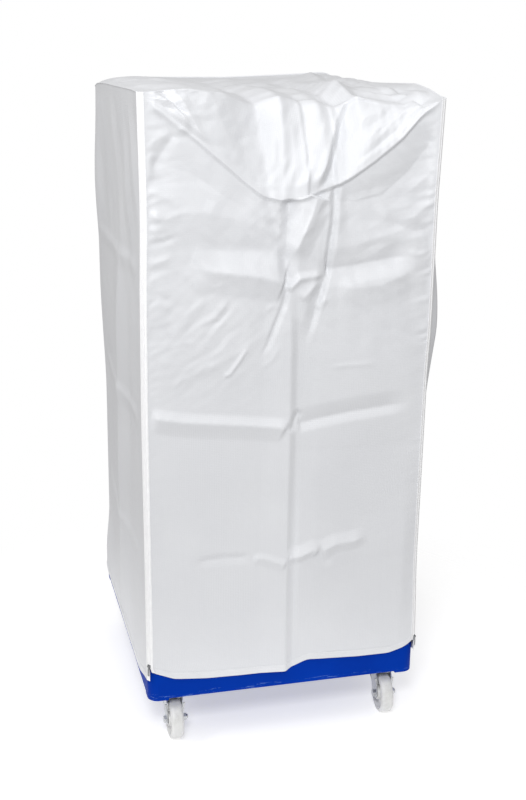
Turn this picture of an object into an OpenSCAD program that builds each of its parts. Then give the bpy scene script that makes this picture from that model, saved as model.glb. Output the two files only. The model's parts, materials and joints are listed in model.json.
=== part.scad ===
// Covered roll container: a plastic deck on casters, three mesh walls and a zipped fabric cover.
// The origin is on the floor under the middle of the deck. The front faces -Y. Millimetres.

/* [Deck] */
// Width of the deck, left to right
deck_w = 724; // [700:1:760]
// Depth of the deck, front to back
deck_d = 815; // [790:1:840]
// Height of the load face above the floor
deck_top = 215; // [205:1:230]
// Radius of the deck's vertical corners
deck_r = 28; // [20:1:35]
// Thickness of the deck's top skin
deck_skin = 6; // [4:0.5:8]
// Thickness of the deck's skirt
deck_wall = 5; // [4:0.5:7]

/* [Casters] */
// Diameter of the wheels
wheel_d = 108; // [100:1:108]
// Width of the wheel tread
wheel_w = 34; // [26:1:34]
// Height of a whole caster, floor to mounting face
caster_h = 127; // [127:1:130]
// Distance of the casters from the middle, sideways
caster_x = 291; // [280:1:295]
// Distance of the casters from the middle, front and back
caster_y = 344; // [330:1:346]
// Distance from a swivel axis to its wheel axle
trail = 32; // [28:1:36]
// Swivel angle of the left front caster
left_yaw = 1; // [-30:1:30]
// Swivel angle of the right front caster
right_yaw = -3; // [-30:1:30]

/* [Walls] */
// Height of the walls above the floor
wall_top = 1650; // [1500:1:1800]
// Diameter of the wall frame tube
tube_d = 20; // [16:1:22]
// Diameter of the mesh wires
wire_d = 5; // [4:0.5:6]
// Bend radius at the top corners of a wall
bend_r = 60; // [40:1:90]
// Number of upright wires in a wall
upright_count = 6; // [5:1:8]
// Number of cross wires in a wall
cross_count = 4; // [3:1:6]

/* [Cover] */
// Height of the cover's roof above the floor
cover_top = 1652; // [1652:1:1802]
// Thickness of the cover panels
cloth = 1.5; // [1:0.1:2]
// Height of the cover's lower edge above the floor
cover_hem_z = 150; // [145:1:200]
// Height of the front flap's lower edge above the floor
flap_hem_z = 178; // [170:1:190]
// Depth of the sag in the roof's unsupported front edge
roof_sag = 240; // [150:1:250]
// Share of the sagging cloth's length that it rises as it leans back
lean_rise = 0.75; // [0.6:0.05:0.9]
// Height of the line where the front flap starts to swing
flap_hinge_z = 1385; // [1380:1:1390]
// Height of the line where the front flap folds back over the roof
flap_fold_z = 1105; // [1090:1:1110]

/* [Zips] */
// Width of the closed zip, both tapes together
zip_w = 18; // [16:1:20]
// Angle that the zips face outward from the front
zip_turn = 45; // [40:1:45]
// Height of the closed zip slider
slider_z = 228; // [220:1:240]
// Length of the zip pull
pull_l = 26; // [20:1:30]

/* [Hidden] */
$fn = 64;

// deck
apron_z = caster_h + 5;
pad_w = 52;
boss_w = 112;
boss_d = 96;
rib_t = 4;
rib_z = 160;
socket_r = 17;
socket_floor = 156;
socket_gap = 0.3;

// walls
tube_r = tube_d / 2;
wire_r = wire_d / 2;
side_x = deck_w / 2 - 27;
side_front = -(deck_d / 2 - 32);
side_back = deck_d / 2 - 52;
rear_y = deck_d / 2 - 22;
rear_x = deck_w / 2 - 50;
bar_z = 245;
bar_r = 8;
weld = 3;
clip_r = 3;
clip_heights = [600, 1300];

// casters
axle_z = wheel_d / 2;
axle_r = 6;
bush_r = 9;
hub_w = 36;
leg_gap = hub_w + 2;
leg_t = 3;
crown_z = 112;
crown_l = 62;
eye_r = 14;
flange_w = 5;
flange_end = 22;
plate_t = 3;
plate_w = 100;
plate_d = 85;
bolt_x = 40;
bolt_y = 30;
bolt_r = 4;
bolt_top = 147;
pin_r = 6;
run_gap = 0.05;
race_r = 26;

// cover
cover_x = deck_w / 2 + 4;
cover_y = deck_d / 2 + 4;
split_gap = 0.4;
hinge_out = 0.4;
hem_h = 20;
hem_t = 1.2;
sag_x = side_x - tube_r - 3;
sag_apex = -20;
sag_columns = 20;
sag_rows = 9;
lean_start = 8;

// zips
zip_x = cover_x - 14;
tape_start = 1.1;
tape_gap = 2;
tape_end = (cover_x - cloth - zip_x) / cos(zip_turn) - 0.03;
slider_gap = 0.5;
slider_t = 3.5;
slider_h = 13;
pull_pin_r = 0.8;
pull_out = 6;

// ---- shared shapes ----

module rounded_rect(w, d, r) {
    square([w - 2 * r, d], center = true);
    square([w, d - 2 * r], center = true);
    for (x = [-1, 1], y = [-1, 1])
        translate([x * (w / 2 - r), y * (d / 2 - r)]) circle(r);
}

// a box given by its lowest and highest corners
module block(low, high) {
    translate(low) cube(high - low);
}

module at_corners(x, y) {
    for (i = [-1, 1], j = [-1, 1])
        translate([i * x, j * y, 0]) children();
}

// ---- deck ----

module deck_body() {
    inner = [deck_w - 2 * deck_wall, deck_d - 2 * deck_wall, deck_r - deck_wall];
    under = deck_top - deck_skin;
    difference() {
        translate([0, 0, apron_z])
            linear_extrude(deck_top - apron_z) rounded_rect(deck_w, deck_d, deck_r);
        translate([0, 0, apron_z - 1])
            linear_extrude(under - apron_z + 1) rounded_rect(inner[0], inner[1], inner[2]);
    }
    for (x = [-1, 0, 1])
        block([x * 150 - rib_t / 2, -deck_d / 2 + deck_wall, rib_z],
              [x * 150 + rib_t / 2, deck_d / 2 - deck_wall, under]);
    for (y = [-2:2])
        block([-deck_w / 2 + deck_wall, y * 115 - rib_t / 2, rib_z],
              [deck_w / 2 - deck_wall, y * 115 + rib_t / 2, under]);
    intersection() {
        translate([0, 0, caster_h])
            linear_extrude(under - caster_h) rounded_rect(deck_w, deck_d, deck_r);
        at_corners(deck_w / 2 - pad_w / 2, deck_d / 2 - pad_w / 2)
            block([-pad_w / 2, -pad_w / 2, caster_h], [pad_w / 2, pad_w / 2, under]);
    }
    at_corners(caster_x, caster_y)
        block([-boss_w / 2, -boss_d / 2, caster_h], [boss_w / 2, boss_d / 2, under]);
    for (p = concat(socket_places(-1), socket_places(1)))
        translate([p[0], p[1], socket_floor - 6]) cylinder(r = socket_r, h = under - socket_floor + 6);
}

// where the wall tubes plug in on one side of the deck
function socket_places(s) = [
    [s * side_x, side_front],
    [s * side_x, side_back],
    [s * rear_x, rear_y]
];

module deck() {
    color("royalblue")
    difference() {
        deck_body();
        at_corners(caster_x, caster_y)
            at_corners(bolt_x, bolt_y)
                translate([0, 0, caster_h - 1]) cylinder(r = bolt_r, h = bolt_top - caster_h + 2);
        for (p = concat(socket_places(-1), socket_places(1)))
            translate([p[0], p[1], socket_floor])
                cylinder(r = tube_r + socket_gap, h = deck_top - socket_floor + 1);
    }
}

// ---- walls ----
// A wall is drawn in the XZ plane, from x = 0 to x = w, and then turned into place.

module wall_frame(w) {
    straight = wall_top - tube_r - bend_r;
    color("gainsboro") {
        for (x = [0, w])
            translate([x, 0, socket_floor]) cylinder(r = tube_r, h = straight - socket_floor);
        for (s = [0, 1])
            translate([s == 0 ? bend_r : w - bend_r, 0, straight])
                rotate([90, 0, 0])
                    rotate([0, 0, s == 0 ? 90 : 0])
                        rotate_extrude(angle = 90) translate([bend_r, 0]) circle(tube_r);
        translate([bend_r, 0, wall_top - tube_r])
            rotate([0, 90, 0]) cylinder(r = tube_r, h = w - 2 * bend_r);
        translate([0, 0, bar_z]) rotate([0, 90, 0]) cylinder(r = bar_r, h = w);
    }
}

module wall_uprights(w) {
    pitch = w / (upright_count + 1);
    low = bar_z + bar_r - weld;
    high = wall_top - tube_d + weld;
    color("silver")
    for (i = [1:upright_count])
        translate([i * pitch, 0, low]) cylinder(r = wire_r, h = high - low, $fn = 24);
}

module wall_crosswires(w) {
    pitch = (wall_top - bar_z) / (cross_count + 1);
    color("silver")
    for (i = [1:cross_count])
        translate([tube_r - weld, wire_d, bar_z + i * pitch])
            rotate([0, 90, 0]) cylinder(r = wire_r, h = w - tube_d + 2 * weld, $fn = 24);
}

// a side wall runs front to back, and its cross wires lie on the load's side
module side_wall(s) {
    translate([s * side_x, side_front, 0])
        mirror([s < 0 ? 0 : 1, 0, 0])
            mirror([1, 0, 0])
                rotate([0, 0, 90]) children();
}

module rear_wall() {
    translate([-rear_x, rear_y, 0])
        mirror([0, 1, 0]) children();
}

module wall_clips() {
    reach = [side_x - rear_x, rear_y - side_back];
    color("gray")
    for (s = [-1, 1], z = clip_heights)
        difference() {
            translate([s * rear_x, rear_y, z])
                rotate([90, 0, s * atan2(reach[0], reach[1])])
                    cylinder(r = clip_r, h = norm(reach));
            translate([s * rear_x, rear_y, z]) cylinder(r = tube_r, h = 4 * clip_r, center = true);
            translate([s * side_x, side_back, z]) cylinder(r = tube_r, h = 4 * clip_r, center = true);
        }
}

// ---- casters ----

module caster_bolts() {
    color("silver")
    at_corners(caster_x, caster_y)
        at_corners(bolt_x, bolt_y) {
            translate([0, 0, caster_h - plate_t]) cylinder(r = bolt_r, h = bolt_top - caster_h + plate_t);
            translate([0, 0, caster_h - plate_t - 5.5]) cylinder(r = 7.2, h = 5.5, $fn = 6);
        }
}

module caster_plate() {
    difference() {
        translate([0, 0, caster_h - plate_t]) linear_extrude(plate_t) rounded_rect(plate_w, plate_d, 8);
        at_corners(bolt_x, bolt_y)
            translate([0, 0, caster_h - plate_t - 1]) cylinder(r = bolt_r, h = plate_t + 2);
        children();
    }
}

module front_plate() {
    color("silver")
    caster_plate()
        translate([0, 0, caster_h - plate_t - 1]) cylinder(r = pin_r, h = plate_t + 2);
}

module kingpin() {
    head_z = crown_z - split_gap - 3.5;
    color("silver") {
        translate([0, 0, head_z]) cylinder(r = pin_r, h = caster_h - head_z);
        translate([0, 0, head_z]) cylinder(r = 10, h = 3.5);
    }
}

// the fixed cup that the balls of the swivel run in
module race() {
    low = crown_z + leg_t + split_gap;
    high = caster_h - plate_t;
    color("gray")
    rotate_extrude()
        polygon([[14, low], [race_r, low], [race_r, high - 3], [race_r - 3, high], [14, high]]);
}

// one leg, in the plane x = 0: a wide top that narrows to the axle eye at [reach, axle_z]
module fork_leg(reach) {
    rotate([90, 0, 90])
        linear_extrude(leg_t)
            difference() {
                union() {
                    translate([reach, axle_z]) circle(eye_r);
                    polygon([
                        [crown_l / 2, crown_z + leg_t],
                        [-crown_l / 2, crown_z + leg_t],
                        [-crown_l / 2 + min(0, reach) * 0.35, crown_z - 10],
                        [reach - eye_r, axle_z],
                        [reach + eye_r * 0.9, axle_z - eye_r * 0.43],
                        [crown_l / 2, crown_z - 10]
                    ]);
                }
                translate([reach, axle_z]) circle(axle_r);
            }
}

// an edge of a leg bent outwards to stiffen it, from top_y at the crown towards [low_y, low_z] at the axle
module leg_flange(top_y, low_y, low_z) {
    top_z = crown_z - 10;
    long = norm([top_y - low_y, top_z - low_z]) * (top_z - axle_z - flange_end) / (top_z - low_z);
    translate([leg_t - 0.2, top_y, top_z])
        rotate([-atan2(top_y - low_y, top_z - low_z), 0, 0])
            rotate([90, 0, 0])
                linear_extrude(leg_t, center = true)
                    polygon([[0, 0], [flange_w, 0], [0, -long]]);
}

module fork_legs(reach) {
    back_y = crown_l / 2;
    front_y = min(0, reach) * 0.35 - crown_l / 2;
    for (s = [-1, 1])
        mirror([s < 0 ? 1 : 0, 0, 0])
            translate([leg_gap / 2, 0, 0]) {
                fork_leg(reach);
                leg_flange(front_y + leg_t / 2, reach - eye_r + leg_t / 2, axle_z);
                leg_flange(back_y - leg_t / 2, reach + eye_r * 0.9 - leg_t / 2, axle_z - eye_r * 0.43);
            }
}

module front_fork() {
    color("silver") {
        fork_legs(-trail);
        difference() {
            block([-leg_gap / 2, -crown_l / 2, crown_z], [leg_gap / 2, crown_l / 2, crown_z + leg_t]);
            translate([0, 0, crown_z - 1]) cylinder(r = pin_r + run_gap, h = leg_t + 2);
        }
    }
}

module rear_bracket() {
    top = caster_h - plate_t;
    color("silver") {
        caster_plate();
        fork_legs(0);
        for (s = [-1, 1])
            block([s * (leg_gap / 2 + leg_t / 2) - leg_t / 2, -crown_l / 2, crown_z + leg_t],
                  [s * (leg_gap / 2 + leg_t / 2) + leg_t / 2, crown_l / 2, top]);
    }
}

// the axle bolt with its head on the left
module axle() {
    side = leg_gap / 2 + leg_t;
    color("silver")
    translate([0, 0, axle_z])
        rotate([0, 90, 0]) {
            translate([0, 0, -side]) cylinder(r = axle_r, h = 2 * side + 13);
            translate([0, 0, -side - 7]) cylinder(r = 10.5, h = 7, $fn = 6);
        }
}

module nut() {
    color("silver")
    translate([leg_gap / 2 + leg_t, 0, axle_z])
        rotate([0, 90, 0])
            difference() {
                union() {
                    cylinder(r = 12, h = 1.5);
                    translate([0, 0, 1.5]) cylinder(r = 10.5, h = 8, $fn = 6);
                }
                translate([0, 0, -1]) cylinder(r = axle_r, h = 12);
            }
}

// tread, dished web and hub, turned about the axle
module wheel() {
    r = wheel_d / 2;
    half = wheel_w / 2;
    shoulder = 9;
    rim = r - 13;
    web = 8;
    color("white")
    translate([0, 0, axle_z])
        rotate([0, 90, 0])
            rotate_extrude($fn = 96)
                polygon(concat(
                    [[bush_r, -hub_w / 2], [18, -hub_w / 2], [20, -web], [rim - 3, -web], [rim, 2 - half]],
                    shoulder_arc(r - shoulder, -half + shoulder, shoulder, -90),
                    shoulder_arc(r - shoulder, half - shoulder, shoulder, 0),
                    [[rim, half - 2], [rim - 3, web], [20, web], [18, hub_w / 2], [bush_r, hub_w / 2]]
                ));
}

function shoulder_arc(x, y, r, start) = [
    for (i = [0:4]) [x + r * cos(start + i * 22.5), y + r * sin(start + i * 22.5)]
];

module bush() {
    color("gray")
    translate([0, 0, axle_z])
        rotate([0, 90, 0])
            difference() {
                cylinder(r = bush_r, h = hub_w + 1, center = true);
                cylinder(r = axle_r + run_gap, h = hub_w + 3, center = true);
            }
}

// a front caster part that swivels, and one that stays
module front_swivel(s, yaw) {
    translate([s * caster_x, -caster_y, 0]) rotate([0, 0, yaw]) children();
}

module front_fixed(s) {
    translate([s * caster_x, -caster_y, 0]) children();
}

module trailing(s, yaw) {
    front_swivel(s, yaw) translate([0, -trail, 0]) children();
}

module rear_fixed(s) {
    translate([s * caster_x, caster_y, 0]) children();
}

// ---- cover ----

// how far along the front edge a point is from the apex of the sag, 0 at the apex and 1 at the walls
function sag_run(x) = x < sag_apex
    ? (sag_apex - x) / (sag_x + sag_apex)
    : (x - sag_apex) / (sag_x - sag_apex);
function front_drop(x) = abs(x) >= sag_x ? 0 : roof_sag * pow(1 - sag_run(x), 0.6);
function front_edge(x) = -cover_y + max(0, abs(x) - zip_x) * tan(zip_turn);
// a point of the roof: row 0 is the sagging fold, row 1 the edge behind it that leans back, and the
// other rows run level from there to the back
function lean_y(x) = front_edge(x) + lean_start + front_drop(x) * sqrt(1 - lean_rise * lean_rise);
function roof_point(x, j) = j == 0
    ? [x, front_edge(x), cover_top - front_drop(x)]
    : let (v = (j - 1) / (sag_rows - 1))
        let (fall = front_drop(x) * (1 - lean_rise))
            [x, lean_y(x) + (cover_y - lean_y(x)) * v, cover_top - fall * pow(1 - v, 2)];
function roof_columns() = concat(
    [-cover_x, -cover_x + cloth, -zip_x],
    [for (i = [0:sag_columns]) -sag_x + 2 * sag_x * i / sag_columns],
    [zip_x, cover_x - cloth, cover_x]
);

module cover_roof() {
    xs = roof_columns();
    rows = sag_rows + 1;
    top = [for (x = xs, j = [0:sag_rows]) roof_point(x, j)];
    count = len(top);
    points = concat(top, [for (p = top) p - [0, 0, cloth]]);
    across = [for (i = [0:len(xs) - 2], j = [0:sag_rows - 1]) i * rows + j];
    last = (len(xs) - 1) * rows;
    rim = concat(
        [for (j = [0:sag_rows]) j],
        [for (i = [1:len(xs) - 1]) i * rows + sag_rows],
        [for (j = [1:sag_rows]) last + sag_rows - j],
        [for (i = [1:len(xs) - 2]) (len(xs) - 1 - i) * rows]
    );
    color("white")
    polyhedron(points, concat(
        [for (k = across) [k, k + 1, k + rows]],
        [for (k = across) [k + 1, k + rows + 1, k + rows]],
        [for (k = across) [count + k, count + k + rows, count + k + 1]],
        [for (k = across) [count + k + 1, count + k + rows, count + k + rows + 1]],
        [for (i = [0:len(rim) - 1]) let (a = rim[i], b = rim[(i + 1) % len(rim)]) [a, count + a, b]],
        [for (i = [0:len(rim) - 1]) let (a = rim[i], b = rim[(i + 1) % len(rim)]) [b, count + a, count + b]]
    ));
}

module cover_side(s) {
    front = front_edge(cover_x - cloth);
    color("white")
    block([s > 0 ? cover_x - cloth : -cover_x, front, cover_hem_z],
          [s > 0 ? cover_x : cloth - cover_x, cover_y, cover_top - cloth]);
}

module cover_back() {
    color("white")
    block([cloth - cover_x, cover_y - cloth, cover_hem_z],
          [cover_x - cloth, cover_y, cover_top - cloth]);
}

// the part of the front that stays up, under the sagging edge of the roof
module cover_head() {
    low = flap_hinge_z + split_gap;
    high = cover_top - cloth;
    pitch = 2 * sag_x / sag_columns;
    color("white")
    translate([0, cloth - cover_y, 0])
        rotate([90, 0, 0])
            linear_extrude(cloth)
                polygon(concat(
                    [[zip_x, low], [zip_x, high]],
                    [for (i = [0:sag_columns]) let (x = sag_x - i * pitch) [x, high - front_drop(x)]],
                    [[-zip_x, high], [-zip_x, low]]
                ));
}

module cover_hem() {
    x = cover_x - cloth;
    y = cover_y - cloth;
    front = front_edge(cover_x - cloth) + 4;
    color("whitesmoke")
    difference() {
        block([-x, front, cover_hem_z], [x, y, cover_hem_z + hem_h]);
        block([hem_t - x, front - 1, cover_hem_z - 1], [x - hem_t, y - hem_t, cover_hem_z + hem_h + 1]);
    }
}

module front_flap(span) {
    color("white")
    block([-zip_x, -cover_y, span[0]], [zip_x, cloth - cover_y, span[1]]);
}

module flap_hem() {
    color("whitesmoke")
    block([-zip_x, cloth - cover_y, flap_hem_z], [zip_x, cloth - cover_y + hem_t, flap_hem_z + hem_h]);
}

// ---- zips ----
// Zip pieces are drawn looking along +Y, with x running from the flap to the side panel,
// and then turned onto the chamfered front corner.

module on_zip(s) {
    translate([s * zip_x, -cover_y, 0])
        rotate([0, 0, s * zip_turn])
            mirror([s < 0 ? 1 : 0, 0, 0]) children();
}

module flap_tape(s, span) {
    color("snow")
    on_zip(s) block([tape_start, 0, span[0]], [(zip_w - tape_gap) / 2, cloth, span[1]]);
}

module side_tape(s) {
    color("snow")
    on_zip(s) block([(zip_w + tape_gap) / 2, 0, cover_hem_z], [tape_end, cloth, cover_top - cloth]);
}

module zip_slider(s) {
    back = -slider_gap;
    front = back - slider_t;
    color("gray")
    on_zip(s) translate([zip_w / 2, 0, slider_z]) {
        rotate([90, 0, 0]) translate([0, 0, slider_gap])
            linear_extrude(slider_t)
                polygon([
                    [-3, -slider_h / 2], [3, -slider_h / 2], [4.5, slider_h / 6],
                    [4.5, slider_h / 2], [-4.5, slider_h / 2], [-4.5, slider_h / 6]
                ]);
        for (x = [-1, 1])
            block([x * 2.9 - 0.6, -pull_out - 1.2, 0.5], [x * 2.9 + 0.6, front, 4.5]);
        translate([-2.9, -pull_out, 2.5]) rotate([0, 90, 0]) cylinder(r = pull_pin_r, h = 5.8, $fn = 24);
    }
}

module zip_pull(s) {
    eye = 1.7;
    half = 1.8;
    color("gray")
    on_zip(s) translate([zip_w / 2, -pull_out, slider_z + 2.5])
        difference() {
            union() {
                rotate([0, 90, 0]) cylinder(r = eye, h = 2 * half, center = true, $fn = 32);
                block([-half, -0.6, -8], [half, 0.6, 0]);
                block([-2.6, -0.6, -pull_l], [2.6, 0.6, -8]);
            }
            rotate([0, 90, 0]) cylinder(r = pull_pin_r + run_gap, h = 8, center = true, $fn = 32);
            translate([0, 0, 5 - pull_l])
                rotate([90, 0, 0]) cylinder(r = 1.3, h = 3, center = true, $fn = 24);
        }
}

// ---- what is drawn ----

side_w = side_back - side_front;
// the heights that each piece of the front spans
head_span = [flap_hinge_z + split_gap, cover_top - cloth];
upper_span = [flap_fold_z + split_gap, flap_hinge_z - split_gap];
lower_span = [flap_hem_z, flap_fold_z - split_gap];
lower_tape_span = [slider_z + slider_h, flap_fold_z - split_gap];

deck();
side_wall(-1) wall_frame(side_w);  // left_wall_frame
side_wall(-1) wall_uprights(side_w);  // left_wall_uprights
side_wall(-1) wall_crosswires(side_w);  // left_wall_crosswires
side_wall(1) wall_frame(side_w);  // right_wall_frame
side_wall(1) wall_uprights(side_w);  // right_wall_uprights
side_wall(1) wall_crosswires(side_w);  // right_wall_crosswires
rear_wall() wall_frame(2 * rear_x);  // rear_wall_frame
rear_wall() wall_uprights(2 * rear_x);  // rear_wall_uprights
rear_wall() wall_crosswires(2 * rear_x);  // rear_wall_crosswires
wall_clips();
caster_bolts();
front_fixed(-1) front_plate();  // front_left_plate
front_fixed(-1) kingpin();  // front_left_kingpin
front_fixed(-1) race();  // front_left_race
front_swivel(-1, left_yaw) front_fork();  // front_left_fork
trailing(-1, left_yaw) axle();  // front_left_axle
trailing(-1, left_yaw) nut();  // front_left_nut
trailing(-1, left_yaw) wheel();  // front_left_wheel
trailing(-1, left_yaw) bush();  // front_left_bush
front_fixed(1) front_plate();  // front_right_plate
front_fixed(1) kingpin();  // front_right_kingpin
front_fixed(1) race();  // front_right_race
front_swivel(1, right_yaw) front_fork();  // front_right_fork
trailing(1, right_yaw) axle();  // front_right_axle
trailing(1, right_yaw) nut();  // front_right_nut
trailing(1, right_yaw) wheel();  // front_right_wheel
trailing(1, right_yaw) bush();  // front_right_bush
rear_fixed(-1) rear_bracket();  // rear_left_bracket
rear_fixed(-1) axle();  // rear_left_axle
rear_fixed(-1) nut();  // rear_left_nut
rear_fixed(-1) wheel();  // rear_left_wheel
rear_fixed(-1) bush();  // rear_left_bush
rear_fixed(1) rear_bracket();  // rear_right_bracket
rear_fixed(1) axle();  // rear_right_axle
rear_fixed(1) nut();  // rear_right_nut
rear_fixed(1) wheel();  // rear_right_wheel
rear_fixed(1) bush();  // rear_right_bush
cover_roof();
cover_side(-1);  // cover_left_side
cover_side(1);  // cover_right_side
cover_back();
cover_head();
cover_hem();
side_tape(-1);  // left_side_tape
side_tape(1);  // right_side_tape
flap_tape(-1, head_span);  // left_head_tape
flap_tape(1, head_span);  // right_head_tape
front_flap(upper_span);  // front_flap_upper
flap_tape(-1, upper_span);  // left_upper_tape
flap_tape(1, upper_span);  // right_upper_tape
front_flap(lower_span);  // front_flap_lower
flap_tape(-1, lower_tape_span);  // left_lower_tape
flap_tape(1, lower_tape_span);  // right_lower_tape
flap_hem();
zip_slider(-1);  // left_zip_slider
zip_slider(1);  // right_zip_slider
zip_pull(-1);  // left_zip_pull
zip_pull(1);  // right_zip_pull
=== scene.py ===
"""Covered roll container: its cloth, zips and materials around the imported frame. Metres, front towards -Y."""

import json
import math

import bpy
import numpy as np
from mathutils import Matrix, Vector


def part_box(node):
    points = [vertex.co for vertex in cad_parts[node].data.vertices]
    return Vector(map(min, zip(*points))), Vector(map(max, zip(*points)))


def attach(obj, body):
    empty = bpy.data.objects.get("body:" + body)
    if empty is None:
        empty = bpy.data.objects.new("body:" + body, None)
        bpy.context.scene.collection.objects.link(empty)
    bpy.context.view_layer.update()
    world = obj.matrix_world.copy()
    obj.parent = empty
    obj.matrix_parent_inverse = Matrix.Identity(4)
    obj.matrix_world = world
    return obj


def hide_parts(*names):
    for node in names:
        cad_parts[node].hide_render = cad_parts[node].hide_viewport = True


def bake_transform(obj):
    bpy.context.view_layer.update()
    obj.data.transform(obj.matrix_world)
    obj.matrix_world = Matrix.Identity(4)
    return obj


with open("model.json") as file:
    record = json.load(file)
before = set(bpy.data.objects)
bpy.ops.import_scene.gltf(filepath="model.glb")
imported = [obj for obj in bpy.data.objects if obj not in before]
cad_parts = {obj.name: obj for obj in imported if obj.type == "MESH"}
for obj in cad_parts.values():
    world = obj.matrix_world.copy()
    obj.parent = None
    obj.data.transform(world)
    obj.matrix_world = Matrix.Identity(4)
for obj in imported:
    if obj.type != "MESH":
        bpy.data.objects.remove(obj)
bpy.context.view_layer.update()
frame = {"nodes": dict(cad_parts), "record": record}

# ---- places, read from the frame

HALF_W, HALF_D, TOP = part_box("cover_roof")[1]
FLAP_LOW, FLAP_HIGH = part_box("front_flap_lower")
ZIP_X = FLAP_HIGH.x
FRONT_Y = FLAP_LOW.y
HEM_Z = FLAP_LOW.z
UPPER_LOW, UPPER_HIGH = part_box("front_flap_upper")
HINGE_Z = UPPER_HIGH.z
UPPER_MID_Z = (UPPER_LOW.z + UPPER_HIGH.z) / 2
SIDE_HEM_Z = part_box("cover_left_side")[0].z
SLIDER_LOW, SLIDER_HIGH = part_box("right_zip_slider")
SLIDER_Z = (SLIDER_LOW.z + SLIDER_HIGH.z) / 2

CLOTH_T = 0.0007
HEM_T = 0.0005
HEM_WIDTH = 0.02
HEAD_LOW_Z = HINGE_Z + 0.015
ZIP_BAND = 0.018
ZIP_TURN = math.radians(45)
SIDE_Y = FRONT_Y + ZIP_BAND * math.sin(ZIP_TURN)
BACK_ROUND = 0.004
# Heights of the marks that folding left across the sides and the back
FOLD_MARKS = (0.5, 0.87, 1.24)


# ---- small maths

def smooth(t):
    """An eased step from 0 to 1 while t goes from 0 to 1."""
    t = np.clip(t, 0, 1)
    return t * t * (3 - 2 * t)


def stack(*parts):
    """Points from their coordinates, which are spread to one shape first."""
    return np.stack(np.broadcast_arrays(*parts), axis=-1)


def curve_through(points, rounding=0.006):
    """A function of one number through the given points, with its corners rounded over that distance."""
    known = np.array(points, float)
    fine = np.linspace(known[0, 0], known[-1, 0], 1201)
    step = fine[1] - fine[0]
    value = np.interp(fine, known[:, 0], known[:, 1])
    reach = max(1, int(3 * rounding / step))
    kernel = np.exp(-0.5 * (np.arange(-reach, reach + 1) * step / rounding) ** 2)
    padded = np.pad(value, reach, mode="reflect", reflect_type="odd")
    value = np.convolve(padded, kernel / kernel.sum(), mode="valid")
    return lambda x: np.interp(x, fine, value)


def to_path(a, b, path):
    """For points (a, b): the distance to a path, how far along it the nearest point is, and on which side."""
    path = np.array(path, float)
    lengths = np.linalg.norm(np.diff(path, axis=0), axis=1)
    start = np.concatenate([[0], np.cumsum(lengths)])
    best = np.full(a.shape, 1e9)
    along = np.zeros(a.shape)
    side = np.ones(a.shape)
    for i, length in enumerate(lengths):
        da, db = (path[i + 1] - path[i]) / length
        t = np.clip((a - path[i, 0]) * da + (b - path[i, 1]) * db, 0, length)
        oa = a - path[i, 0] - t * da
        ob = b - path[i, 1] - t * db
        distance = np.hypot(oa, ob)
        near = distance < best
        best = np.where(near, distance, best)
        along = np.where(near, (start[i] + t) / start[-1], along)
        side = np.where(near, np.sign(da * ob - db * oa), side)
    return best, along, side


def crease(a, b, path, height, left, right, ends=(0.15, 0.15)):
    """A folded edge along a path: its flanks fall from height at the line to nothing at left and right.

    It fades over those shares of its length at its ends; a first share of 0 starts it at full height.
    """
    distance, along, side = to_path(a, b, path)
    width = np.where(side > 0, left, right)
    fade = smooth((1 - along) / ends[1])
    if ends[0] > 0:
        fade = smooth(along / ends[0]) * fade
    return height * fade * np.maximum(1 - distance / width, 0) ** 1.2


def lumps(a, b, size, seed, stretch=1.0, turn=0.0):
    """Smooth random relief of about -1 to 1: lumps of that size in metres, stretched one way."""
    c, s = math.cos(turn), math.sin(turn)
    u = (a * c + b * s) / (size * stretch)
    v = (b * c - a * s) / size
    waves = np.random.default_rng(seed)
    total = np.zeros(np.shape(a))
    count = 14
    for _ in range(count):
        angle = waves.uniform(0, 2 * math.pi)
        rate = waves.uniform(1.2, 4.0)
        phase = waves.uniform(0, 2 * math.pi)
        total += np.sin(rate * (u * math.cos(angle) + v * math.sin(angle)) + phase)
    return total / (count / 2)


def facets(a, b, size, seed, stretch=1.0, turn=0.0):
    """Random relief between -1 and 1 of flat facets with sharp edges, the way stiff cloth crumples."""
    c, s = math.cos(turn), math.sin(turn)
    u = (a * c + b * s) / (size * stretch) + 0.3 * lumps(a, b, size * 3, seed + 100)
    v = (b * c - a * s) / size + 0.3 * lumps(a, b, size * 3, seed + 101)
    repeat = 61
    heights = np.random.default_rng(seed).uniform(-1, 1, (repeat, repeat))
    i, j = np.floor(u).astype(int), np.floor(v).astype(int)
    fu, fv = u - i, v - j

    def corner(di, dj):
        return heights[(i + di) % repeat, (j + dj) % repeat]

    lower = corner(0, 0) + fu * (corner(1, 0) - corner(0, 0)) + fv * (corner(0, 1) - corner(0, 0))
    upper = corner(1, 1) + (1 - fu) * (corner(0, 1) - corner(1, 1)) + (1 - fv) * (corner(1, 0) - corner(1, 1))
    return np.where(fu + fv < 1, lower, upper)


def spot(a, b, middle, reach):
    """1 at a place, falling to 0 over the given reach each way."""
    return np.exp(-((a - middle[0]) / reach[0]) ** 2 - ((b - middle[1]) / reach[1]) ** 2)


# ---- the front: folds and creases

# Many points of the fold line, the hem line and the front's creases were picked by eye in the photograph and
# turned into metres by a scratch script with the fitted camera. The others were set or adjusted.

# The fold that the sagging front hangs from, as height over the front's width
fold_line = curve_through([
    (-0.36, 1.64), (-0.312, 1.606), (-0.25, 1.56), (-0.18, 1.503), (-0.12, 1.452), (-0.075, 1.419),
    (-0.03, 1.41), (0.01, 1.41), (0.06, 1.428), (0.1, 1.438), (0.135, 1.456), (0.2, 1.501),
    (0.26, 1.547), (0.31, 1.602), (0.36, 1.634)], 0.007)
# The seam behind it, where the front meets the roof
edge_line = curve_through([
    (-0.36, 1.648), (-0.25, 1.656), (-0.155, 1.645), (-0.075, 1.618), (-0.02, 1.64), (0.035, 1.625),
    (0.075, 1.63), (0.125, 1.612), (0.15, 1.626), (0.165, 1.64), (0.23, 1.629), (0.31, 1.618),
    (0.36, 1.634)], 0.006)
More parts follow.
